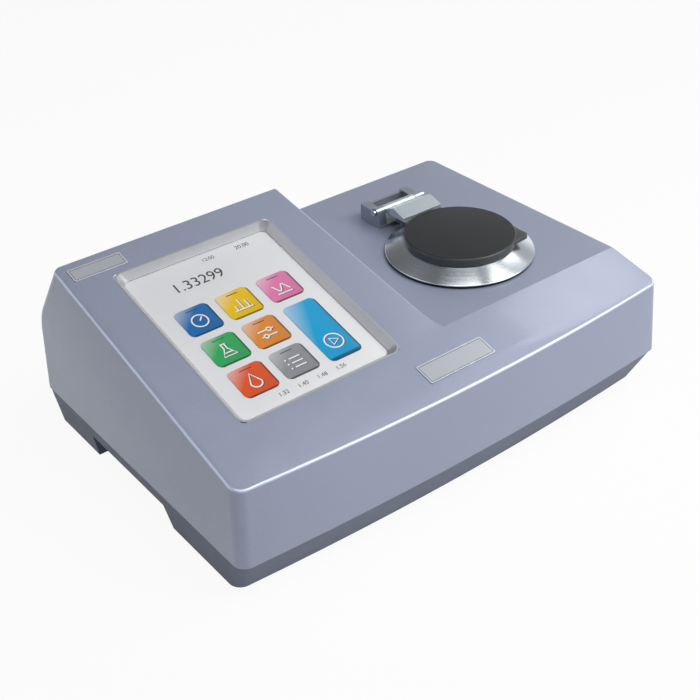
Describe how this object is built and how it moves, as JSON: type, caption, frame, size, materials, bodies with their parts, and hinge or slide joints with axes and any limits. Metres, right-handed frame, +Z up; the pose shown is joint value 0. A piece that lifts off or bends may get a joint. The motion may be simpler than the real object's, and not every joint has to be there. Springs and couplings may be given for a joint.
{
  "type": "automatic refractometer",
  "caption": "Bench instrument that measures the refractive index of a drop of liquid, with a sloped touch panel, a steel sample stage and a hinged cover.",
  "frame": {"origin": "on the table, under the middle of the casing's width and depth", "axes": "+X to the user's right, +Y away from the user to the rear, +Z up"},
  "size_m": [0.37, 0.26, 0.1397],
  "materials": {
    "housing_paint": "cast, painted blue-grey, satin",
    "case_paint": "cast, painted dark blue-grey, satin",
    "rear_paint": "sheet, painted dark grey",
    "screw_steel": "zinc plated",
    "foot_rubber": "matt",
    "badge_metal": "brushed, bare",
    "panel_glass": "glass over a bright screen",
    "seal_rubber": "matt",
    "display_body": "matt",
    "sheet_steel": "bare sheet",
    "board_green": "solder mask",
    "ribbon_grey": "flat cable",
    "ring_steel": "turned stainless steel",
    "holder_steel": "turned stainless steel",
    "prism_glass": "polished",
    "cover_black": "satin black",
    "pad_white": "matt white",
    "arm_steel": "brushed stainless steel",
    "bracket_dark": "anodised grey",
    "barrel_black": "anodised black",
    "filter_glass": "coated",
    "lens_glass": "polished",
    "chip_black": "moulded",
    "cast_aluminium": "bare",
    "cooler_white": "ceramic plates",
    "fan_black": "matt",
    "socket_black": "satin",
    "pin_brass": "plated",
    "socket_metal": "nickel plated",
    "supply_metal": "perforated case"
  },
  "bodies": {
    "base": {"upper_housing": "housing_paint", "lower_case": "case_paint", "case_screws": "screw_steel", "rubber_feet": "foot_rubber", "front_badge": "badge_metal", "corner_badge": "badge_metal", "touch_panel": "panel_glass", "panel_gasket": "seal_rubber", "lcd_module": "display_body", "lcd_bracket": "sheet_steel", "lcd_screws": "screw_steel", "lcd_board": "board_green", "display_ribbon": "ribbon_grey", "stage_ring": "ring_steel", "stage_gasket": "seal_rubber", "stage_retainer": "sheet_steel", "stage_screws": "screw_steel", "prism_holder": "holder_steel", "prism": "prism_glass", "prism_seal": "seal_rubber", "hinge_bracket": "bracket_dark", "hinge_pin": "arm_steel", "hinge_screws": "screw_steel", "lamp_barrel": "barrel_black", "lamp_board": "board_green", "light_filter": "filter_glass", "condenser_lens": "lens_glass", "sensor_barrel": "barrel_black", "objective_lens": "lens_glass", "image_sensor": "chip_black", "sensor_board": "board_green", "optical_bench": "cast_aluminium", "bench_screws": "screw_steel", "peltier_cooler": "cooler_white", "heat_sink": "cast_aluminium", "fan_frame": "fan_black", "fan_screws": "screw_steel", "rear_panel": "rear_paint", "rear_panel_screws": "screw_steel", "mains_inlet": "socket_black", "inlet_pins": "pin_brass", "switch_frame": "socket_black", "serial_socket": "socket_metal", "usb_sockets": "socket_metal", "main_board": "board_green", "board_parts": "chip_black", "board_screws": "screw_steel", "standoffs": "pin_brass", "power_supply": "supply_metal"},
    "cover": {"sample_cover": "cover_black", "cover_pad": "pad_white", "cover_screws": "screw_steel", "cover_arm": "arm_steel"},
    "rotor": {"fan_rotor": "fan_black"},
    "rocker": {"switch_rocker": "socket_black"}
  },
  "joints": [
    {"name": "cover_hinge", "type": "hinge", "parent": "base", "child": "cover", "pos_m": [0.092, 0.062, 0.11], "axis": [-1, 0, 0], "range_deg": [0, 105]},
    {"name": "fan_spin", "type": "hinge", "parent": "base", "child": "rotor", "pos_m": [0.092, 0.1212, 0.056], "axis": [0, 1, 0], "continuous": true},
    {"name": "switch_tilt", "type": "hinge", "parent": "base", "child": "rocker", "pos_m": [-0.044, 0.124, 0.056], "axis": [0, 0, 1], "range_deg": [-8, 8]}
  ]
}
